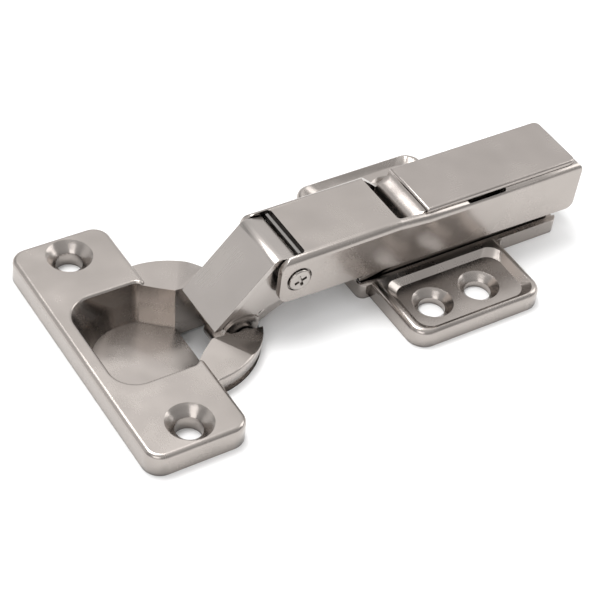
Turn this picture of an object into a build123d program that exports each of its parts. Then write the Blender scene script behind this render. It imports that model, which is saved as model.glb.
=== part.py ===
from build123d import *
import math
import os

os.makedirs("parts", exist_ok=True)

# Concealed cup hinge, clip-on, lying open at 90 degrees. Millimetres.
# The origin is the centre of the four screw holes on the underside of the mounting plate.
# X runs along the arm to its rear, Y across the hinge, and Z away from the cabinet panel.
# Z = 0 is the panel face, which is also the face of the open door under the cup's flange.

# Sheet thicknesses and running clearances
arm_sheet = 1.25
link_sheet = 1.1
cover_sheet = 1.2
base_sheet = 1.2
plate_sheet = 1.3
cap_sheet = 0.9
spring_sheet = 0.6
pin_fit = 0.05
pin_chamfer = 0.2
stud_chamfer = 0.25
stud_grip = 2.0
rivet_round = 0.4
washer_inset = 0.4
countersink_angle = 90
side_gap = 0.3

# Pivots of the linkage, as X and Z in the side view
rivet_x = -32.2
rivet_z = 12.9
cup_pin_x = -42.3
cup_pin_z = 0.2
inner_pin_x = -43.1
inner_pin_z = -5.3
rear_pin_x = -25.1
rear_pin_z = 11.7
rivet_r = 1.6
cup_pin_r = 1.4
inner_pin_r = 1.0
rear_pin_r = 1.2
rear_pin_play = 1.3
head_r = 2.35
head_h = 0.5
head_ring = 0.35
star_length = 2.7
star_width = 0.65
star_depth = 0.35
star_turn = 20

# Arm
arm_half = 7.9
arm_front = -36.3
arm_rear = 34.5
arm_top = 18.2
arm_step_top = 17.5
arm_step_x = -9.6
arm_bottom_front = 8.0
arm_bottom_rear = 6.4
arm_bend = 1.5
ear_top_round = 3.0
ear_low_round = 2.4
rear_low_round = 1.6
rear_top_round = 1.2
rear_slope = 0.4
slot_corner = 0.8
slot_rear_x = -30.6
gap_rear_x = -2.4
side_notch_z = 13.6
side_notch_x = -4.6
snap_slot_x = 11.0
snap_slot_length = 9.3
snap_slot_width = 1.2
snap_slot_y = 6.9

# Cover cap on the rear of the arm
cap_half = 6.9
cap_front = -3.0
cap_rear = 33.3
cap_top = 18.5
cap_nose_x = -6.9
cap_nose_z = 13.2
cap_edge_round = 0.55
cap_corner = 1.5
cap_nose_swell = 2.4
cap_nose_inset = 0.75

# Front link: a bent cover plate over a folded channel
cover_low_x = -49.0
cover_low_z = 4.7
cover_bend_x = -36.6
cover_bend_z = 18.1
cover_end_x = -32.4
cover_end_z = 17.2
cover_bend_r = 2.4
cover_end_chamfer = 0.8
link_half = 5.6
link_rise = 0.4
link_rise_r = 5.1
link_boss_r = 3.4
cup_boss_r = 3.3
link_waist_x = -38.9
link_waist_z = 5.1
link_heel_x = -34.2
link_heel_z = 6.6
web_length = 10.5
web_start = 1.0

# Inner link
inner_half = 3.9
inner_cup_boss_r = 1.9
inner_arm_boss_r = 3.4
inner_low_points = ((5.4, 5.5), (11.6, 8.9))
inner_high_points = ((4.9, 7.5), (10.7, 11.9))
inner_root = 1.3

# Carrier of the rear link pin, inside the arm
carrier_sheet = 0.7
carrier_ahead = 3.1
carrier_behind = 6.5
carrier_bottom = 6.2
carrier_top = 15.5
carrier_corner = 0.8
spring_nose_x = -31.9
spring_rear = -12.0
spring_half = 6.1
spring_nose_top = 17.8

# Cup and flange
flange_front = -74.6
flange_rear = -54.1
flange_half = 29.7
flange_top = 4.85
flange_corner = 3.5
flange_edge = 1.0
cup_x = -54.25
rim_r = 17.1
rim_top = 4.25
rim_bottom = 1.8
rim_neck = 0.5
rim_round = 0.5
cup_r = 16.8
cup_wall = 1.1
cup_bottom = -8.2
cup_bottom_round = 1.6
cup_floor = -5.0
cup_screw_x = -64.0
cup_screw_pitch = 48.0
screw_head_d = 9.2
screw_hole_d = 5.4
pocket_outer_x = -71.5
pocket_half = 12.1
pocket_corner = 5.0
pocket_low_in_x = 2.3
pocket_low_in = 0.3
pocket_floor_in_x = 2.9
pocket_floor_in = 0.9
pocket_low_corner = 8.4
pocket_edge = 0.6
throat_x = -56.0
throat_in = 2.9
throat_mid_x = -52.6
bay_x = -49.9
bay_half = 7.2
bay_rear = -39.9
bay_wall = 0.7
crease_x = -49.8
crease_y = 6.7
crease_run_x = 3.7
crease_run_y = 6.2
crease_fall = 0.17
notch_half = 4.6
notch_bottom = -4.6
mouth_bottom = -3.6
screw_boss = 0.9
cup_pad_r = 2.6
pin_end_gap = 0.2

# Mounting plate
wing_front = -14.0
wing_rear = 16.2
wing_half = 23.8
wing_height = 4.0
wing_edge = 1.2
wing_corner = 3.6
pan_z = 2.9
pan_ridge = 1.5
pan_slope = 1.3
pan_corner = 3.0
pan_gap = 0.6
hole_pitch_x = 11.0
hole_pitch_y = 32.0
plate_screw_head_d = 8.3
plate_screw_hole_d = 5.3
rail_half = 7.0
rail_front = -16.4
rail_rear = 31.9
rail_height = 3.4
rail_sheet = 1.2
rail_corner = 1.6
neck_r = 2.0
rail_floor = 1.0
raised_floor = 1.7
raised_floor_x = 20.5
window_front = 26.5
window_rear = 30.6
window_half = 4.2
hook_pin_x = -14.2
hook_pin_z = 2.4
hook_pin_r = 0.8

# Clip base that carries the arm on the mounting plate
base_front = -15.9
base_rear = 30.0
base_top = 14.7
base_bottom = 1.5
base_nose_top = 6.8
base_rise_x = -1.0
depth_cam_x = 16.0
depth_cam_r = 3.0
depth_collar_r = 3.9
depth_collar = 0.6
depth_drive = 3.6
depth_drive_width = 0.8
drive_depth = 0.9
face_gap = 0.1
pin_proud = 0.3
depth_pin_r = 1.4
depth_travel = 1.5
depth_play = 0.8
side_screw_x = 5.0
side_screw_r = 2.0
side_neck_r = 1.3
side_flange_r = 2.0
side_flange = 0.7
side_drive = 2.6
side_drive_width = 0.6

# Release latch at the rear
latch_pin_x = 25.0
latch_pin_z = 8.2
latch_pin_r = 1.0
latch_half = 3.6
latch_rear = 36.4
latch_boss_r = 2.1
hook_face = 26.9
hook_back = 29.2
hook_reach = 1.3
hook_low = 0.5
latch_bar = 1.6
spring_x = 29.0
spring_wire = 0.6
spring_coil_r = 1.5

# Values that follow from the sizes above
link_plate_in = link_half - link_sheet
arm_in = arm_half - arm_sheet
cover_half = arm_in - side_gap
base_half = rail_half - rail_sheet - side_gap
carrier_front = rear_pin_x - carrier_ahead
carrier_rear = rear_pin_x + carrier_behind
link_clear = link_half + link_rise + side_gap
stud_end = bay_half + stud_grip
cover_run = math.hypot(cover_bend_x - cover_low_x, cover_bend_z - cover_low_z)
run_x = (cover_low_x - cover_bend_x) / cover_run
run_z = (cover_low_z - cover_bend_z) / cover_run
in_x = -run_z
in_z = run_x


def arm_floor(x):
    """Height of the arm's lower edge, a straight line from ear to rear."""
    share = (x - arm_front) / (arm_rear - arm_front)
    return arm_bottom_front + (arm_bottom_rear - arm_bottom_front) * share


def pocket_mouth(outer_x, half, corner):
    """Outline of the pocket from its outer end to the bay, at one height."""
    inset = pocket_half - half
    side = (throat_x, half), (outer_x, half), (outer_x, -half), (throat_x, -half)
    outline = FilletPolyline((bay_x, bay_half - inset), (throat_mid_x, half - throat_in), *side,
                             (throat_mid_x, throat_in - half), (bay_x, -bay_half + inset),
                             radius=(1.0, 2.0, corner, corner, 2.0, 1.0))
    Line(outline @ 1, outline @ 0)


# Hinge cup: flange, rim, drawn cup, pocket and linkage bay in one piece
with BuildPart() as hinge_cup:
    flange_length = flange_rear - flange_front
    flange_x = (flange_front + flange_rear) / 2
    with BuildSketch():
        with Locations((flange_x, 0)):
            RectangleRounded(flange_length, 2 * flange_half, flange_corner)
    extrude(amount=flange_top)
    fillet(hinge_cup.edges().group_by(Axis.Z)[-1], flange_edge)
    with BuildSketch():
        with Locations((flange_x, 0)):
            RectangleRounded(flange_length - 2 * plate_sheet, 2 * (flange_half - plate_sheet),
                             flange_corner - plate_sheet)
    extrude(amount=flange_top - plate_sheet, mode=Mode.SUBTRACT)
    with BuildSketch():
        with Locations((cup_screw_x, -cup_screw_pitch / 2), (cup_screw_x, cup_screw_pitch / 2)):
            Circle(screw_head_d / 2 + screw_boss)
    extrude(amount=flange_top - plate_sheet)
    with BuildSketch():
        with Locations(((pocket_outer_x + flange_rear) / 2, 0)):
            RectangleRounded(flange_rear - pocket_outer_x + 2 * cup_wall, 2 * (pocket_half + cup_wall),
                             pocket_corner + cup_wall)
    extrude(amount=flange_top - plate_sheet)
    # The round wall ends at the door face and is slightly drawn in below the rim
    for lower_z, upper_z, radius in ((cup_bottom, 0, cup_r), (0, rim_bottom, cup_r - rim_neck),
                                     (rim_bottom, rim_top, rim_r)):
        with BuildSketch(Plane.XY.offset(lower_z)):
            with Locations((cup_x, 0)):
                Circle(radius)
        extrude(amount=upper_z - lower_z)
    fillet(hinge_cup.edges().filter_by(GeomType.CIRCLE).group_by(Axis.Z)[0], cup_bottom_round)
    rim_edges = hinge_cup.edges().filter_by(GeomType.CIRCLE).filter_by(lambda e: abs(e.radius - rim_r) < 0.01)
    fillet(rim_edges.group_by(Axis.Z)[-1], rim_round)
    # Pocket: a rounded oblong mouth that narrows to the round wall at the door face, with a flat floor
    pocket_levels = ((flange_top, pocket_outer_x, pocket_half, pocket_corner),
                     (0, pocket_outer_x + pocket_low_in_x, pocket_half - pocket_low_in, pocket_low_corner),
                     (cup_floor, pocket_outer_x + pocket_floor_in_x, pocket_half - pocket_floor_in,
                      pocket_low_corner))
    for levels in zip(pocket_levels, pocket_levels[1:]):
        for plane_z, outer_x, half, corner in levels:
            with BuildSketch(Plane.XY.offset(plane_z)):
                with BuildLine():
                    pocket_mouth(outer_x, half, corner)
                make_face()
        loft(mode=Mode.SUBTRACT)
    mouth_edges = hinge_cup.edges().filter_by_position(Axis.Z, flange_top - 0.01, flange_top + 0.01)
    mouth_edges = mouth_edges.filter_by_position(Axis.X, pocket_outer_x - 0.1, throat_x + 0.1)
    fillet(mouth_edges.filter_by_position(Axis.Y, -pocket_half - 0.1, pocket_half + 0.1), pocket_edge)
    # Bay for the links, open below behind the pocket's floor
    with BuildSketch(Plane.XY.offset(cup_bottom)):
        with Locations(((bay_x + bay_rear) / 2, 0)):
            Rectangle(bay_rear - bay_x, 2 * bay_half)
        with Locations((cup_x, 0)):
            Circle(cup_r - bay_wall, mode=Mode.INTERSECT)
    extrude(amount=flange_top - cup_bottom, mode=Mode.SUBTRACT)
    # Mouth at the rear of the rim, and a deeper notch for the inner link
    with BuildSketch(Plane.XY.offset(mouth_bottom)):
        with Locations((cup_x + cup_r, 0)):
            Rectangle(2 * (rim_r - bay_half), 2 * bay_half)
    extrude(amount=flange_top - mouth_bottom, mode=Mode.SUBTRACT)
    with BuildSketch(Plane.XY.offset(notch_bottom)):
        with Locations((cup_x + cup_r, 0)):
            Rectangle(2 * (cup_x + cup_r - bay_rear) + 2 * cup_wall, 2 * notch_half)
    extrude(amount=flange_top - notch_bottom, mode=Mode.SUBTRACT)
    # The rim falls away towards the rear from a slanting crease on each side
    for side in (-1, 1):
        crease = Plane(origin=(crease_x, side * crease_y, rim_top),
                       x_dir=(crease_run_y, -side * crease_run_x, 0),
                       z_dir=(-side * crease_run_x, -crease_run_y, 0))
        with BuildSketch(crease):
            with BuildLine():
                Polyline((0, 0), (cup_r, -crease_fall * cup_r), (cup_r, rim_top), (0, rim_top), close=True)
            make_face()
        extrude(amount=-side * cup_r, mode=Mode.SUBTRACT)
    # Pads that space the front link, and the bores of both pins
    for side in (-1, 1):
        with BuildSketch(Plane.XZ.offset(-side * bay_half)):
            with Locations((cup_pin_x, cup_pin_z)):
                Circle(cup_pad_r)
        extrude(amount=side * (bay_half - link_clear))
    with BuildSketch(Plane.XZ):
        with Locations((cup_pin_x, cup_pin_z)):
            Circle(cup_pin_r)
        with Locations((inner_pin_x, inner_pin_z)):
            Circle(inner_pin_r)
    extrude(amount=stud_end + pin_end_gap, both=True, mode=Mode.SUBTRACT)
    with Locations((cup_screw_x, -cup_screw_pitch / 2, flange_top),
                   (cup_screw_x, cup_screw_pitch / 2, flange_top)):
        CounterSinkHole(screw_hole_d / 2, screw_head_d / 2, counter_sink_angle=countersink_angle)
hinge_cup.part.label = "hinge_cup"
export_step(hinge_cup.part, "parts/hinge_cup.step")

# Pins of the cup: two short studs for the front link, one through pin for the inner link
for name, side in (("cup_stud_near", -1), ("cup_stud_far", 1)):
    with BuildPart() as stud:
        with BuildSketch(Plane.XZ.offset(-side * link_plate_in)):
            with Locations((cup_pin_x, cup_pin_z)):
                Circle(cup_pin_r - pin_fit)
        extrude(amount=-side * (stud_end - link_plate_in))
        chamfer(stud.edges().filter_by(GeomType.CIRCLE), stud_chamfer)
    stud.part.label = name
    export_step(stud.part, "parts/" + name + ".step")

with BuildPart() as inner_cup_pin:
    with BuildSketch(Plane.XZ):
        with Locations((inner_pin_x, inner_pin_z)):
            Circle(inner_pin_r - pin_fit)
    extrude(amount=stud_end, both=True)
    chamfer(inner_cup_pin.edges().filter_by(GeomType.CIRCLE), pin_chamfer)
inner_cup_pin.part.label = "inner_cup_pin"
export_step(inner_cup_pin.part, "parts/inner_cup_pin.step")

# Cover plate of the front link, bent over its upper end
with BuildPart() as link_cover:
    with BuildSketch(Plane.XZ):
        with BuildLine():
            FilletPolyline((cover_low_x, cover_low_z), (cover_bend_x, cover_bend_z),
                           (cover_end_x, cover_end_z), radius=cover_bend_r)
            offset(amount=cover_sheet, side=Side.RIGHT)
        make_face()
    extrude(amount=cover_half, both=True)
    chamfer(link_cover.edges().filter_by(Axis.Y).group_by(Axis.Z)[0], cover_end_chamfer)
link_cover.part.label = "link_cover"
export_step(link_cover.part, "parts/link_cover.step")

# Front link: side plates from the arm's rivet down to the cup, joined by a web under the cover
under_bend = (cover_bend_x + cover_sheet * in_x, cover_bend_z + cover_sheet * in_z)
with BuildPart() as front_link:
    with BuildSketch(Plane.XZ):
        with BuildLine():
            low_top = (cover_low_x + cover_sheet * in_x - 0.9 * run_x,
                       cover_low_z + cover_sheet * in_z - 0.9 * run_z)
            high_top = (under_bend[0] + 1.4 * run_x, under_bend[1] + 1.4 * run_z)
            Polyline((cup_pin_x - 2.6, cup_pin_z + 1.9), low_top, high_top,
                     (rivet_x - 1.2, rivet_z + 3.3), (rivet_x, rivet_z), (rivet_x - 0.2, rivet_z - 2.6),
                     (link_heel_x, link_heel_z), (link_waist_x, link_waist_z),
                     (cup_pin_x + 3.1, cup_pin_z + 0.8), (cup_pin_x, cup_pin_z), close=True)
        make_face()
        with Locations((rivet_x, rivet_z)):
            Circle(link_boss_r)
        with Locations((cup_pin_x, cup_pin_z)):
            Circle(cup_boss_r)
    extrude(amount=link_half + link_rise, both=True)
    # Outside the raised disc round the cup pin the plates lie flat
    for side in (-1, 1):
        with BuildSketch(Plane.XZ.offset(-side * link_half)):
            with Locations((cup_pin_x, cup_pin_z)):
                Rectangle(60, 60)
                Circle(link_rise_r, mode=Mode.SUBTRACT)
        extrude(amount=-side * link_rise, mode=Mode.SUBTRACT)
    # The web is one sheet thick and stops short of the inner link's ends
    with BuildSketch(Plane.XZ):
        with BuildLine():
            a = (under_bend[0] + link_sheet * in_x + web_start * run_x,
                 under_bend[1] + link_sheet * in_z + web_start * run_z)
            b = (a[0] + web_length * run_x, a[1] + web_length * run_z)
            c = (b[0] - 3.0 * in_x + 8.0 * run_x, b[1] - 3.0 * in_z + 8.0 * run_z)
            Polyline((rivet_x + 6, rivet_z + 8), (a[0] - 3 * in_x, a[1] - 3 * in_z), a, b,
                     (b[0] - 3.0 * in_x, b[1] - 3.0 * in_z), c, (c[0] - 8, c[1] - 14),
                     (rivet_x + 6, cup_pin_z - 8), close=True)
        make_face()
    extrude(amount=link_plate_in, both=True, mode=Mode.SUBTRACT)
    with BuildSketch(Plane.XZ):
        with Locations((rivet_x, rivet_z)):
            Circle(rivet_r)
        with Locations((cup_pin_x, cup_pin_z)):
            Circle(cup_pin_r)
    extrude(amount=link_half + link_rise, both=True, mode=Mode.SUBTRACT)
front_link.part.label = "front_link"
export_step(front_link.part, "parts/front_link.step")

# Inner link, between the plates of the front link
with BuildPart() as inner_link:
    with BuildSketch(Plane.XZ):
        with BuildLine():
            low = [(inner_pin_x + dx, inner_pin_z + dz) for dx, dz in inner_low_points]
            high = [(inner_pin_x + dx, inner_pin_z + dz) for dx, dz in inner_high_points]
            lower = Spline((inner_pin_x + inner_root, inner_pin_z - inner_root), *low,
                           (rear_pin_x, rear_pin_z - inner_arm_boss_r))
            upper = Spline((inner_pin_x - inner_root, inner_pin_z + inner_root), *high,
                           (rear_pin_x - inner_arm_boss_r * math.sin(math.radians(45)),
                            rear_pin_z + inner_arm_boss_r * math.cos(math.radians(45))))
            Line(lower @ 0, upper @ 0)
            Line(lower @ 1, upper @ 1)
        make_face()
        with Locations((inner_pin_x, inner_pin_z)):
            Circle(inner_cup_boss_r)
        with Locations((rear_pin_x, rear_pin_z)):
            Circle(inner_arm_boss_r)
    extrude(amount=inner_half, both=True)
    with BuildSketch(Plane.XZ):
        with Locations((inner_pin_x, inner_pin_z)):
            Circle(inner_pin_r)
        with Locations((rear_pin_x, rear_pin_z)):
            Circle(rear_pin_r + rear_pin_play)
    extrude(amount=inner_half, both=True, mode=Mode.SUBTRACT)
inner_link.part.label = "inner_link"
export_step(inner_link.part, "parts/inner_link.step")

# Arm: a folded channel with two ears, a higher front and a slightly lower rear under the cap
arm_profile = ((arm_front, arm_top), (arm_step_x, arm_top),
               (gap_rear_x, arm_step_top), (arm_rear, arm_step_top))
with BuildPart() as hinge_arm:
    for half, drop, radius, mode in ((arm_half, 0, arm_bend, Mode.ADD),
                                     (arm_in, arm_sheet, arm_bend - arm_sheet, Mode.SUBTRACT)):
        for (start, start_top), (end, end_top) in zip(arm_profile, arm_profile[1:]):
            for plane_x, top in ((start, start_top - drop), (end, end_top - drop)):
                with BuildSketch(Plane.YZ.offset(plane_x)):
                    with BuildLine():
                        section = FilletPolyline((-half, 0), (-half, top), (half, top), (half, 0),
                                                 radius=radius)
                        Line(section @ 1, section @ 0)
                    make_face()
            loft(mode=mode)
    with BuildSketch(Plane.XZ):
        with BuildLine():
            FilletPolyline((arm_front, arm_floor(arm_front)), (arm_rear - rear_slope, arm_floor(arm_rear)),
                           (arm_rear, arm_step_top), (gap_rear_x, arm_step_top), (arm_step_x, arm_top),
                           (arm_front, arm_top), close=True,
                           radius=(ear_low_round, rear_low_round, rear_top_round, 0.5, 0.5, ear_top_round))
        make_face()
    extrude(amount=arm_half, both=True, mode=Mode.INTERSECT)
    # Front slot between the ears, and the opening that takes the cap's nose
    with BuildSketch(Plane.XY.offset(arm_top - 2 * arm_sheet)):
        with Locations((arm_front - slot_corner, 0)):
            RectangleRounded(2 * (slot_rear_x - arm_front + slot_corner), 2 * arm_in, slot_corner)
        with Locations(((arm_step_x + gap_rear_x) / 2, 0)):
            RectangleRounded(gap_rear_x - arm_step_x, 2 * (arm_half - arm_bend), slot_corner)
    extrude(amount=3 * arm_sheet, mode=Mode.SUBTRACT)
    # The far side is notched beside that opening
    with BuildSketch(Plane.XZ):
        with BuildLine():
            Polyline((arm_step_x, arm_top), (side_notch_x, side_notch_z), (gap_rear_x, side_notch_z),
                     (gap_rear_x, arm_top), close=True)
        make_face()
    extrude(amount=-arm_half, mode=Mode.SUBTRACT)
    with BuildSketch(Plane.XY.offset(arm_step_top - arm_sheet - 1)):
        with Locations((snap_slot_x, -snap_slot_y), (snap_slot_x, snap_slot_y)):
            SlotOverall(snap_slot_length, snap_slot_width)
        with Locations((depth_cam_x, 0)):
            Circle(depth_cam_r + pin_fit)
        with Locations((side_screw_x, 0)):
            Circle(side_screw_r + pin_fit)
    extrude(amount=2 * arm_sheet + 1, mode=Mode.SUBTRACT)
    with BuildSketch(Plane.XZ):
        with Locations((rivet_x, rivet_z)):
            Circle(rivet_r)
    extrude(amount=arm_half, both=True, mode=Mode.SUBTRACT)
    # A shallow ring pressed round each rivet head
    for side in (-1, 1):
        with BuildSketch(Plane.XZ.offset(-side * arm_half)):
            with Locations((rivet_x, rivet_z)):
                Circle(head_r + head_ring)
                Circle(head_r, mode=Mode.SUBTRACT)
        extrude(amount=side * head_ring, mode=Mode.SUBTRACT)
hinge_arm.part.label = "hinge_arm"
export_step(hinge_arm.part, "parts/hinge_arm.step")

# Cap over the rear of the arm, with a curved nose dropping into the opening
with BuildPart() as cover_cap:
    with BuildSketch(Plane.XY.offset(arm_step_top)):
        with Locations(((cap_front + cap_rear) / 2, 0)):
            Rectangle(cap_rear - cap_front, 2 * cap_half)
    extrude(amount=cap_top - arm_step_top)
    fillet(cover_cap.edges().filter_by(Axis.Z).group_by(Axis.X)[-1], cap_corner)
    fillet(cover_cap.edges().group_by(Axis.Z)[-1], cap_edge_round)
    with BuildSketch(Plane.XY.offset(arm_step_top)):
        with Locations(((cap_front + cap_rear) / 2, 0)):
            Rectangle(cap_rear - cap_front - 2 * cap_sheet, 2 * (cap_half - cap_sheet))
    extrude(amount=cap_top - arm_step_top - cap_sheet, mode=Mode.SUBTRACT)
    with BuildSketch(Plane.XZ):
        with BuildLine():
            nose = Spline((cap_front + 0.1, cap_top - cap_edge_round),
                          (cap_front - cap_nose_swell, arm_step_top - 1.0),
                          (cap_nose_x, cap_nose_z), tangents=((-0.7, -1), (-0.1, -1)))
            Polyline((cap_nose_x, cap_nose_z), (cap_nose_x + cap_sheet, cap_nose_z),
                     (cap_front - cap_nose_swell + cap_sheet, arm_step_top - 1.4),
                     (cap_front + cap_sheet, arm_step_top), (cap_front + cap_sheet, cap_top - cap_edge_round),
                     (cap_front + 0.1, cap_top - cap_edge_round))
        make_face()
    extrude(amount=cap_half - cap_nose_inset, both=True)
cover_cap.part.label = "cover_cap"
export_step(cover_cap.part, "parts/cover_cap.step")

# Carrier inside the arm that holds the rear pin of the inner link
with BuildPart() as link_carrier:
    with BuildSketch(Plane.XZ):
        with BuildLine():
            FilletPolyline((carrier_front, carrier_bottom), (carrier_rear, carrier_bottom),
                           (carrier_rear, carrier_top), (carrier_front, carrier_top),
                           radius=carrier_corner, close=True)
        make_face()
    extrude(amount=arm_in, both=True)
    with BuildSketch(Plane.XY):
        with Locations((carrier_rear - carrier_sheet - 10, 0)):
            Rectangle(20, 2 * (arm_in - carrier_sheet))
    extrude(amount=arm_top, mode=Mode.SUBTRACT)
    with BuildSketch(Plane.XZ):
        with Locations((rear_pin_x, rear_pin_z)):
            Circle(rear_pin_r)
    extrude(amount=arm_in, both=True, mode=Mode.SUBTRACT)
link_carrier.part.label = "link_carrier"
export_step(link_carrier.part, "parts/link_carrier.step")

with BuildPart() as rear_link_pin:
    with BuildSketch(Plane.XZ):
        with Locations((rear_pin_x, rear_pin_z)):
            Circle(rear_pin_r - pin_fit)
    extrude(amount=arm_in - pin_fit, both=True)
    chamfer(rear_link_pin.edges().filter_by(GeomType.CIRCLE), pin_chamfer)
rear_link_pin.part.label = "rear_link_pin"
export_step(rear_link_pin.part, "parts/rear_link_pin.step")

# Rivet through both ears, with domed heads and a star punch in each
with BuildPart() as link_rivet:
    with BuildSketch(Plane.XZ):
        with Locations((rivet_x, rivet_z)):
            Circle(rivet_r - pin_fit)
    extrude(amount=arm_half, both=True)
    for side in (-1, 1):
        with BuildSketch(Plane.XZ.offset(-side * arm_half)):
            with Locations((rivet_x, rivet_z)):
                Circle(head_r)
        extrude(amount=-side * head_h)
    fillet(link_rivet.edges().filter_by(GeomType.CIRCLE).group_by(Axis.Y)[0], rivet_round)
    fillet(link_rivet.edges().filter_by(GeomType.CIRCLE).group_by(Axis.Y)[-1], rivet_round)
    for side in (-1, 1):
        with BuildSketch(Plane.XZ.offset(-side * (arm_half + head_h))):
            for turn in (star_turn, star_turn + 90):
                with Locations((rivet_x, rivet_z)):
                    Rectangle(star_length, star_width, rotation=turn)
        extrude(amount=side * star_depth, mode=Mode.SUBTRACT)
link_rivet.part.label = "link_rivet"
export_step(link_rivet.part, "parts/link_rivet.step")

for name, side in (("link_washer_near", -1), ("link_washer_far", 1)):
    with BuildPart() as washer:
        with BuildSketch(Plane.XZ.offset(-side * (link_half + pin_fit))):
            with Locations((rivet_x, rivet_z)):
                Circle(link_boss_r - washer_inset)
                Circle(rivet_r, mode=Mode.SUBTRACT)
        extrude(amount=-side * (arm_in - link_half - pin_fit))
    washer.part.label = name
    export_step(washer.part, "parts/" + name + ".step")

# Leaf spring under the arm's top, its nose turned up in the front slot
with BuildPart() as closing_spring:
    leaf_top = arm_top - arm_sheet
    with BuildSketch(Plane.XZ):
        with BuildLine():
            Polyline((spring_rear, leaf_top), (spring_rear, leaf_top - spring_sheet),
                     (spring_nose_x, leaf_top - spring_sheet), (spring_nose_x, leaf_top), close=True)
        make_face()
    extrude(amount=arm_in - (arm_bend - arm_sheet) - pin_fit, both=True)
    with BuildSketch(Plane.XY.offset(leaf_top - spring_sheet)):
        with Locations((spring_nose_x + spring_sheet / 2, 0)):
            Rectangle(spring_sheet, 2 * spring_half)
    extrude(amount=spring_nose_top - leaf_top + spring_sheet)
    front_edges = closing_spring.edges().filter_by(Axis.Y).group_by(Axis.X)[0]
    fillet(front_edges.sort_by(Axis.Z)[0], spring_sheet * 0.8)
closing_spring.part.label = "closing_spring"
export_step(closing_spring.part, "parts/closing_spring.step")

# Mounting plate: two wings with sunken pans, and a rail between them
with BuildPart() as mounting_plate:
    with BuildSketch():
        with Locations(((wing_front + wing_rear) / 2, 0)):
            RectangleRounded(wing_rear - wing_front, 2 * wing_half, wing_corner)
    extrude(amount=wing_height)
    fillet(mounting_plate.edges().group_by(Axis.Z)[-1], wing_edge)
    for side in (-1, 1):
        for plane_z, inset in ((pan_z, pan_ridge + pan_slope), (wing_height, pan_ridge)):
            with BuildSketch(Plane.XY.offset(plane_z)):
                with Locations(((wing_front + wing_rear) / 2, side * (rail_half + pan_gap + wing_half) / 2)):
                    RectangleRounded(wing_rear - wing_front - 2 * inset,
                                     wing_half - rail_half - pan_gap - 2 * inset + pan_ridge, pan_corner)
        loft(mode=Mode.SUBTRACT)
    with BuildSketch(Plane.XY.offset(rail_height)):
        with Locations(((wing_front + wing_rear) / 2, 0)):
            Rectangle(wing_rear - wing_front, 2 * rail_half)
    extrude(amount=wing_height, mode=Mode.SUBTRACT)
    with BuildSketch():
        with Locations(((rail_front + rail_rear) / 2, 0)):
            RectangleRounded(rail_rear - rail_front, 2 * rail_half, rail_corner)
    extrude(amount=rail_height)
    # Rounded necks where the wings' rear edges run into the rail
    for side in (-1, 1):
        with BuildSketch():
            with Locations((wing_rear + neck_r / 2, side * (rail_half + neck_r / 2))):
                Rectangle(neck_r, neck_r)
            with Locations((wing_rear + neck_r, side * (rail_half + neck_r))):
                Circle(neck_r, mode=Mode.SUBTRACT)
        extrude(amount=rail_height - 0.4)
    with BuildSketch(Plane.XY.offset(rail_floor)):
        with Locations(((rail_front + raised_floor_x) / 2, 0)):
            Rectangle(raised_floor_x - rail_front - 2 * rail_sheet, 2 * (rail_half - rail_sheet))
    extrude(amount=rail_height, mode=Mode.SUBTRACT)
    with BuildSketch(Plane.XY.offset(raised_floor + rail_floor)):
        with Locations(((raised_floor_x + rail_rear) / 2, 0)):
            Rectangle(rail_rear - raised_floor_x + 4, 2 * (rail_half - rail_sheet))
    extrude(amount=rail_height, mode=Mode.SUBTRACT)
    with BuildSketch():
        with Locations(((raised_floor_x + rail_rear) / 2, 0)):
            Rectangle(rail_rear - raised_floor_x - 2 * rail_sheet, 2 * (rail_half - rail_sheet))
    extrude(amount=raised_floor, mode=Mode.SUBTRACT)
    with BuildSketch():
        with Locations(((window_front + window_rear) / 2, 0)):
            Rectangle(window_rear - window_front, 2 * window_half)
        with Locations((hook_pin_x + 0.4, 0)):
            Rectangle(4.4, 2 * (rail_half - rail_sheet))
    extrude(amount=rail_height, mode=Mode.SUBTRACT)
    with BuildSketch(Plane.XZ):
        with Locations((hook_pin_x, hook_pin_z)):
            Circle(hook_pin_r)
    extrude(amount=rail_half, both=True, mode=Mode.SUBTRACT)
    with Locations(Location((0, 0, pan_z))):
        with GridLocations(hole_pitch_x, hole_pitch_y, 2, 2):
            CounterSinkHole(plate_screw_hole_d / 2, plate_screw_head_d / 2, counter_sink_angle=countersink_angle)
mounting_plate.part.label = "mounting_plate"
export_step(mounting_plate.part, "parts/mounting_plate.step")

with BuildPart() as hook_pin:
    with BuildSketch(Plane.XZ):
        with Locations((hook_pin_x, hook_pin_z)):
            Circle(hook_pin_r - pin_fit)
    extrude(amount=rail_half, both=True)
hook_pin.part.label = "hook_pin"
export_step(hook_pin.part, "parts/hook_pin.step")

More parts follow.
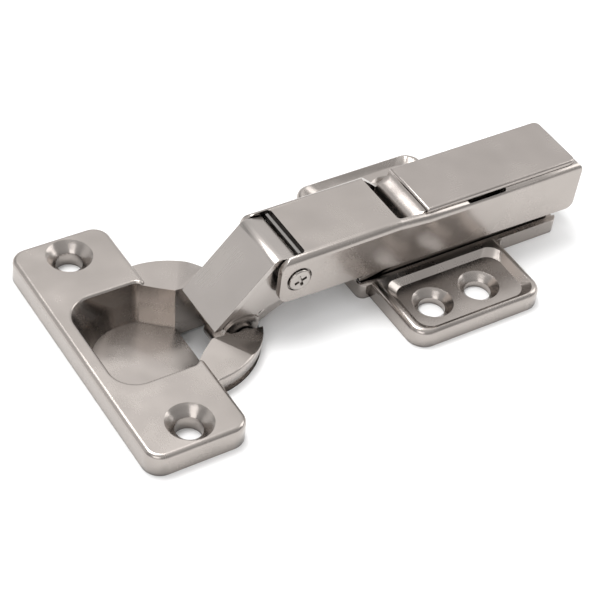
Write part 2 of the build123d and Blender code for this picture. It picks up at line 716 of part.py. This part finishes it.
# Clip base: a folded channel, hooked on the front pin and latched at the rear
with BuildPart() as clip_base:
    with BuildSketch(Plane.XZ):
        with BuildLine():
            Polyline((base_front, 0.5), (-12.2, 0.5), (-11.6, base_bottom),
                     (raised_floor_x - 1.5, base_bottom),
                     (raised_floor_x - 1.5, raised_floor + rail_floor + 0.3),
                     (base_rear, raised_floor + rail_floor + 0.3), (base_rear, base_top),
                     (base_rise_x + 1.6, base_top), (base_rise_x, base_nose_top),
                     (base_front, base_nose_top - 2.4),
                     close=True)
        make_face()
    extrude(amount=base_half, both=True)
    with BuildSketch(Plane.XZ):
        with BuildLine():
            Polyline((base_front - 1, 0), (base_rear + 1, 0), (base_rear + 1, base_top - base_sheet),
                     (base_rise_x - 3, base_top - base_sheet), (base_front - 1, base_top - base_sheet),
                     close=True)
        make_face()
    extrude(amount=base_half - base_sheet, both=True, mode=Mode.SUBTRACT)
    with BuildSketch(Plane.XZ):
        with Locations((hook_pin_x, hook_pin_z)):
            Circle(hook_pin_r + pin_fit)
        with Locations((hook_pin_x - 2, hook_pin_z)):
            Rectangle(4, 2 * (hook_pin_r + pin_fit))
        with Locations((latch_pin_x, latch_pin_z)):
            Circle(latch_pin_r)
    extrude(amount=base_half, both=True, mode=Mode.SUBTRACT)
    with BuildSketch(Plane.XY.offset(base_top - base_sheet)):
        with Locations((depth_cam_x, 0)):
            Rectangle(2 * depth_pin_r + depth_play, 2 * (depth_travel + depth_pin_r) + 0.4)
        with Locations((side_screw_x, 0)):
            SlotOverall(2 * side_neck_r + 2 * depth_travel + 0.4, 2 * side_neck_r + 0.2)
    extrude(amount=base_sheet, mode=Mode.SUBTRACT)
clip_base.part.label = "clip_base"
export_step(clip_base.part, "parts/clip_base.step")

# Eccentric that sets the depth of the door, flush with the arm's top and collared below it
arm_under = arm_step_top - arm_sheet
with BuildPart() as depth_cam:
    with BuildSketch(Plane.XY.offset(arm_under - face_gap - depth_collar)):
        with Locations((depth_cam_x, 0)):
            Circle(depth_collar_r)
    extrude(amount=depth_collar)
    with BuildSketch(Plane.XY.offset(base_top + face_gap)):
        with Locations((depth_cam_x, 0)):
            Circle(depth_cam_r)
    extrude(amount=arm_step_top - 2 * face_gap - base_top)
    with BuildSketch(Plane.XY.offset(base_top - base_sheet - pin_proud)):
        with Locations((depth_cam_x, depth_travel)):
            Circle(depth_pin_r)
    extrude(amount=base_sheet + pin_proud + face_gap)
    with BuildSketch(Plane.XY.offset(arm_step_top - face_gap)):
        with Locations((depth_cam_x, 0)):
            Rectangle(depth_drive, depth_drive_width)
            Rectangle(depth_drive_width, depth_drive)
    extrude(amount=-drive_depth, mode=Mode.SUBTRACT)
depth_cam.part.label = "depth_cam"
export_step(depth_cam.part, "parts/depth_cam.step")

# Screw that sets the side position of the door
with BuildPart() as side_screw:
    for lower_z, upper_z, radius in (
        (base_top - base_sheet - face_gap - side_flange, base_top - base_sheet - face_gap, side_flange_r),
        (base_top - base_sheet - face_gap, base_top + face_gap, side_neck_r),
        (base_top + face_gap, arm_step_top - face_gap, side_screw_r),
    ):
        with BuildSketch(Plane.XY.offset(lower_z)):
            with Locations((side_screw_x, 0)):
                Circle(radius)
        extrude(amount=upper_z - lower_z)
    with BuildSketch(Plane.XY.offset(arm_step_top - face_gap)):
        with Locations((side_screw_x, 0)):
            Rectangle(side_drive, side_drive_width)
            Rectangle(side_drive_width, side_drive)
    extrude(amount=-drive_depth, mode=Mode.SUBTRACT)
side_screw.part.label = "side_screw"
export_step(side_screw.part, "parts/side_screw.step")

# Release latch: hooks under the rail's raised floor, and is lifted at its rear end
with BuildPart() as release_latch:
    with BuildSketch(Plane.XZ):
        with BuildLine():
            latch_top = latch_pin_z + latch_bar / 2
            latch_low = latch_pin_z - latch_bar / 2
            Polyline((latch_pin_x, latch_top), (latch_rear, latch_top), (latch_rear, latch_low + 0.4),
                     (hook_back, latch_low), (hook_back - 0.5, hook_low), (hook_face - 0.8, hook_low),
                     (hook_face - hook_reach, hook_low + 0.4), (hook_face - hook_reach, raised_floor - 0.3),
                     (hook_face, raised_floor - 0.3), (hook_face, latch_pin_z - 1.8),
                     (latch_pin_x, latch_low - 0.8), close=True)
        make_face()
        with Locations((latch_pin_x, latch_pin_z)):
            Circle(latch_boss_r)
    extrude(amount=latch_half, both=True)
    fillet(release_latch.edges().filter_by(Axis.Y).group_by(Axis.X)[-1], 0.5)
    with BuildSketch(Plane.XZ):
        with Locations((latch_pin_x, latch_pin_z)):
            Circle(latch_pin_r)
    extrude(amount=latch_half, both=True, mode=Mode.SUBTRACT)
release_latch.part.label = "release_latch"
export_step(release_latch.part, "parts/release_latch.step")

with BuildPart() as latch_pin:
    with BuildSketch(Plane.XZ):
        with Locations((latch_pin_x, latch_pin_z)):
            Circle(latch_pin_r - pin_fit)
    extrude(amount=base_half, both=True)
latch_pin.part.label = "latch_pin"
export_step(latch_pin.part, "parts/latch_pin.step")

# Coil spring between the base's top and the latch
spring_foot = latch_top + spring_wire / 2 + pin_fit
spring_height = base_top - base_sheet - spring_wire / 2 - pin_fit - spring_foot
with BuildPart() as latch_spring:
    with BuildLine():
        coil = Helix(pitch=spring_height / 4, height=spring_height, radius=spring_coil_r,
                     center=(spring_x, 0, spring_foot))
    with BuildSketch(Plane(origin=coil @ 0, z_dir=coil % 0)):
        Circle(spring_wire / 2)
    sweep()
latch_spring.part.label = "latch_spring"
export_step(latch_spring.part, "parts/latch_spring.step")
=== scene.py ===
import math

import bmesh
import bpy
from mathutils import Matrix, Vector

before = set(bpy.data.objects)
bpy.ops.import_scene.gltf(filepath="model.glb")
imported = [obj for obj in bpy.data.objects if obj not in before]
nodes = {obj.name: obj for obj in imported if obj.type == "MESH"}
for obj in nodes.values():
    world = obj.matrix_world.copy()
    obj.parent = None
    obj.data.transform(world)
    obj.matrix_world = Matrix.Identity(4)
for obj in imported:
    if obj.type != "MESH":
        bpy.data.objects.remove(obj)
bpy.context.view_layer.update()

MM = 0.001
# The cup's axis from the origin, and the bore that a door has for it
CUP_X = -54.25 * MM
BORE_RADIUS = 17.0 * MM
BORE_DEPTH = 9.0 * MM
FLOOR_DROP = 0.02 * MM
FLOOR_RADIUS = 3.0
PHOTO_WIDTH = 600.0
FOCAL_PIXELS = 1873.4


# Node helpers

def new_material(name):
    """An empty node material with its output and principled shader."""
    mat = bpy.data.materials.new(name)
    mat.use_nodes = True
    tree = mat.node_tree
    tree.nodes.clear()
    out = tree.nodes.new("ShaderNodeOutputMaterial")
    shader = tree.nodes.new("ShaderNodeBsdfPrincipled")
    tree.links.new(shader.outputs[0], out.inputs[0])
    return mat, tree, shader


def noise(tree, coord, scale, detail, rough):
    node = tree.nodes.new("ShaderNodeTexNoise")
    node.inputs["Scale"].default_value = scale
    node.inputs["Detail"].default_value = detail
    node.inputs["Roughness"].default_value = rough
    tree.links.new(coord, node.inputs["Vector"])
    return node


def stretched(tree, coord, factors):
    """The coordinate scaled by an amount for each axis."""
    node = tree.nodes.new("ShaderNodeMapping")
    node.inputs["Scale"].default_value = factors
    tree.links.new(coord, node.inputs["Vector"])
    return node.outputs[0]


def ramp(tree, source, stops):
    node = tree.nodes.new("ShaderNodeValToRGB")
    while len(node.color_ramp.elements) > 1:
        node.color_ramp.elements.remove(node.color_ramp.elements[-1])
    for i, (pos, value) in enumerate(stops):
        colour = value if isinstance(value, tuple) else (value, value, value)
        element = node.color_ramp.elements[0] if i == 0 else node.color_ramp.elements.new(pos)
        element.position = pos
        element.color = (*colour, 1.0)
    tree.links.new(source, node.inputs[0])
    return node.outputs[0]


def nickel(name, colour, rough_low, rough_high, grain):
    """Satin nickel plate: slightly wavy sheet, faint clouding and gloss changes, fine grain, and painted shade
    that darkens the colour in creases and joints.
    """
    mat, tree, shader = new_material(name)
    coord = tree.nodes.new("ShaderNodeTexCoord").outputs["Object"]
    cloud = noise(tree, coord, 90, 2, 0.5)
    fine = noise(tree, stretched(tree, coord, grain), 5200, 2, 0.5)
    swell = noise(tree, coord, 130, 1, 0.4)
    low = tuple(c * 0.95 for c in colour)
    high = tuple(min(1.0, c * 1.04) for c in colour)
    # Painted shade: ambient occlusion darkens the base colour in creases and between parts
    painted_crevice_shade = tree.nodes.new("ShaderNodeAmbientOcclusion")
    painted_crevice_shade.samples = 8
    painted_crevice_shade.inputs["Distance"].default_value = 1.6 * MM
    cloud_and_painted_shade = tree.nodes.new("ShaderNodeVectorMath")
    cloud_and_painted_shade.operation = "MULTIPLY"
    tree.links.new(ramp(tree, cloud.outputs["Fac"], ((0.3, low), (0.7, high))), cloud_and_painted_shade.inputs[0])
    tree.links.new(ramp(tree, painted_crevice_shade.outputs["AO"], ((0.2, 0.3), (0.7, 1.0))), cloud_and_painted_shade.inputs[1])
    tree.links.new(cloud_and_painted_shade.outputs[0], shader.inputs["Base Color"])
    gloss = tree.nodes.new("ShaderNodeMix")
    gloss.inputs[0].default_value = 0.22
    tree.links.new(cloud.outputs["Fac"], gloss.inputs[2])
    tree.links.new(fine.outputs["Fac"], gloss.inputs[3])
    tree.links.new(ramp(tree, gloss.outputs[0], ((0.35, rough_low), (0.65, rough_high))),
                   shader.inputs["Roughness"])
    shader.inputs["Metallic"].default_value = 1.0
    waves = tree.nodes.new("ShaderNodeBump")
    waves.inputs["Strength"].default_value = 0.35
    waves.inputs["Distance"].default_value = 0.6 * MM
    tree.links.new(swell.outputs["Fac"], waves.inputs["Height"])
    relief = tree.nodes.new("ShaderNodeBump")
    relief.inputs["Strength"].default_value = 0.02
    relief.inputs["Distance"].default_value = 0.01 * MM
    tree.links.new(fine.outputs["Fac"], relief.inputs["Height"])
    tree.links.new(waves.outputs[0], relief.inputs["Normal"])
    tree.links.new(relief.outputs[0], shader.inputs["Normal"])
    return mat


def nylon(name, colour):
    mat, tree, shader = new_material(name)
    coord = tree.nodes.new("ShaderNodeTexCoord").outputs["Object"]
    grain = noise(tree, coord, 1800, 4, 0.6)
    low = tuple(c * 0.94 for c in colour)
    tree.links.new(ramp(tree, grain.outputs["Fac"], ((0.3, low), (0.7, colour))), shader.inputs["Base Color"])
    tree.links.new(ramp(tree, grain.outputs["Fac"], ((0.3, 0.42), (0.7, 0.55))), shader.inputs["Roughness"])
    relief = tree.nodes.new("ShaderNodeBump")
    relief.inputs["Strength"].default_value = 0.1
    relief.inputs["Distance"].default_value = 0.02 * MM
    tree.links.new(grain.outputs["Fac"], relief.inputs["Height"])
    tree.links.new(relief.outputs[0], shader.inputs["Normal"])
    return mat


plate_mat = nickel("nickel_plate", (0.405, 0.37, 0.345), 0.22, 0.3, (1, 0.3, 1))
link_mat = nickel("nickel_link", (0.47, 0.435, 0.41), 0.22, 0.29, (0.06, 1, 0.06))
cap_mat = nickel("nickel_cap", (0.395, 0.36, 0.337), 0.22, 0.31, (0.05, 1, 1))
pin_mat = nickel("bright_pin", (0.41, 0.38, 0.355), 0.18, 0.26, (1, 1, 1))
spring_mat = nickel("dark_spring", (0.25, 0.24, 0.23), 0.3, 0.4, (1, 1, 1))
washer_mat = nylon("washer_nylon", (0.62, 0.61, 0.58))

looks = {
    "hinge_cup": plate_mat, "mounting_plate": plate_mat, "clip_base": plate_mat,
    "hinge_arm": plate_mat, "release_latch": plate_mat, "link_carrier": plate_mat,
    "front_link": link_mat, "link_cover": link_mat, "inner_link": link_mat,
    "cover_cap": cap_mat,
    "cup_stud_near": pin_mat, "cup_stud_far": pin_mat, "inner_cup_pin": pin_mat,
    "rear_link_pin": pin_mat, "link_rivet": pin_mat, "hook_pin": pin_mat, "latch_pin": pin_mat,
    "depth_cam": pin_mat, "side_screw": pin_mat,
    "closing_spring": spring_mat, "latch_spring": spring_mat,
    "link_washer_near": washer_mat, "link_washer_far": washer_mat,
}
# Width in mm of the rounded sheet edges, piece by piece
edges = {
    "hinge_cup": 0.22, "mounting_plate": 0.22, "clip_base": 0.2, "hinge_arm": 0.22, "release_latch": 0.2,
    "link_carrier": 0.12, "link_cover": 0.12, "inner_link": 0.2, "cover_cap": 0.15,
}
for name, mat in looks.items():
    obj = nodes[name]
    obj.data.materials.clear()
    obj.data.materials.append(mat)
    if name in edges:
        weld = obj.modifiers.new("weld", "WELD")
        weld.merge_threshold = 0.002 * MM
        soft = obj.modifiers.new("edges", "BEVEL")
        soft.width = edges[name] * MM
        soft.segments = 2
        soft.limit_method = "ANGLE"
        soft.angle_limit = math.radians(35)
        soft.harden_normals = True
        soft.use_clamp_overlap = True


# Floor with a bore for the cup, as in a door
def floor_mesh():
    bm = bmesh.new()
    count = 64

    def ring(radius, z):
        return [bm.verts.new(Vector((CUP_X + radius * math.cos(math.tau * i / count),
                                     radius * math.sin(math.tau * i / count), z))) for i in range(count)]

    rim = ring(BORE_RADIUS, 0)
    far = ring(FLOOR_RADIUS, 0)
    low = ring(BORE_RADIUS, -BORE_DEPTH)
    for i in range(count):
        j = (i + 1) % count
        bm.faces.new((rim[i], rim[j], far[j], far[i]))
        bm.faces.new((low[i], low[j], rim[j], rim[i]))
    bm.faces.new(low)
    bmesh.ops.recalc_face_normals(bm, faces=bm.faces)
    mesh = bpy.data.meshes.new("floor")
    bm.to_mesh(mesh)
    bm.free()
    return mesh


floor = bpy.data.objects.new("floor", floor_mesh())
bpy.context.scene.collection.objects.link(floor)
floor.location.z = -FLOOR_DROP
floor_mat, tree, shader = new_material("pale_floor")
coord = tree.nodes.new("ShaderNodeTexCoord").outputs["Object"]
haze = noise(tree, coord, 6, 2, 0.5)
tree.links.new(ramp(tree, haze.outputs["Fac"], ((0.3, 0.93), (0.7, 0.95))), shader.inputs["Base Color"])
shader.inputs["Roughness"].default_value = 0.7
floor.data.materials.append(floor_mat)


# Studio world: direction, where the glow starts and is full, and its strength, for each bright panel
panels = (
    ((0.433, 0.581, 0.689), 0.6, 0.94, 0.5),
    ((-0.713, 0.581, 0.392), 0.9, 0.99, 0.5),
)
world = bpy.data.worlds.new("studio")
world.use_nodes = True
bpy.context.scene.world = world
tree = world.node_tree
back = tree.nodes["Background"]
# Pale at the horizon and overhead, dim between, with two wide bright panels behind the hinge
towards = tree.nodes.new("ShaderNodeTexCoord").outputs["Generated"]
height = tree.nodes.new("ShaderNodeSeparateXYZ")
tree.links.new(towards, height.inputs[0])
total = ramp(tree, height.outputs[2], ((0.0, 0.96), (0.12, 0.92), (0.27, 0.42), (0.45, 0.46), (0.95, 0.8)))
for direction, start, end, gain in panels:
    panel = tree.nodes.new("ShaderNodeVectorMath")
    panel.operation = "DOT_PRODUCT"
    panel.inputs[1].default_value = direction
    tree.links.new(towards, panel.inputs[0])
    both = tree.nodes.new("ShaderNodeVectorMath")
    tree.links.new(total, both.inputs[0])
    tree.links.new(ramp(tree, panel.outputs["Value"], ((start, 0.0), (end, gain))), both.inputs[1])
    total = both.outputs[0]
tree.links.new(total, back.inputs[0])
back.inputs[1].default_value = 1.0


def lamp(name, at, size, power):
    """A rectangular lamp that points at the origin."""
    data = bpy.data.lights.new(name, "AREA")
    data.shape = "RECTANGLE"
    data.size, data.size_y = size
    data.energy = power
    obj = bpy.data.objects.new(name, data)
    bpy.context.scene.collection.objects.link(obj)
    obj.location = at
    obj.rotation_euler = (-Vector(at)).to_track_quat("-Z", "Y").to_euler()


lamp("key", (-0.12, 0.3, 0.9), (0.5, 0.4), 6.0)
lamp("fill", (-0.6, -0.5, 0.5), (0.5, 0.5), 1.5)
lamp("side", (0.7, -0.1, 0.5), (0.4, 0.5), 1.5)


# Camera, fitted to the photograph
azimuth = math.radians(-36.69)
elevation = math.radians(43.54)
roll = math.radians(7.73)
behind = Vector((math.sin(azimuth) * math.cos(elevation), -math.cos(azimuth) * math.cos(elevation),
                 math.sin(elevation)))
level = (-behind).cross(Vector((0, 0, 1))).normalized()
upward = level.cross(-behind)
right = level * math.cos(roll) + upward * math.sin(roll)
above = upward * math.cos(roll) - level * math.sin(roll)
data = bpy.data.cameras.new("camera")
data.sensor_width = 36.0
data.lens = data.sensor_width * FOCAL_PIXELS / PHOTO_WIDTH
data.clip_start = 0.01
data.clip_end = 10.0
camera = bpy.data.objects.new("camera", data)
bpy.context.scene.collection.objects.link(camera)
turn = Matrix((right, above, behind)).transposed().to_4x4()
camera.matrix_world = Matrix.Translation(Vector((-185.1, -214.16, 251.6)) * MM) @ turn
bpy.context.scene.camera = camera
bpy.context.scene.view_settings.view_transform = "Standard"
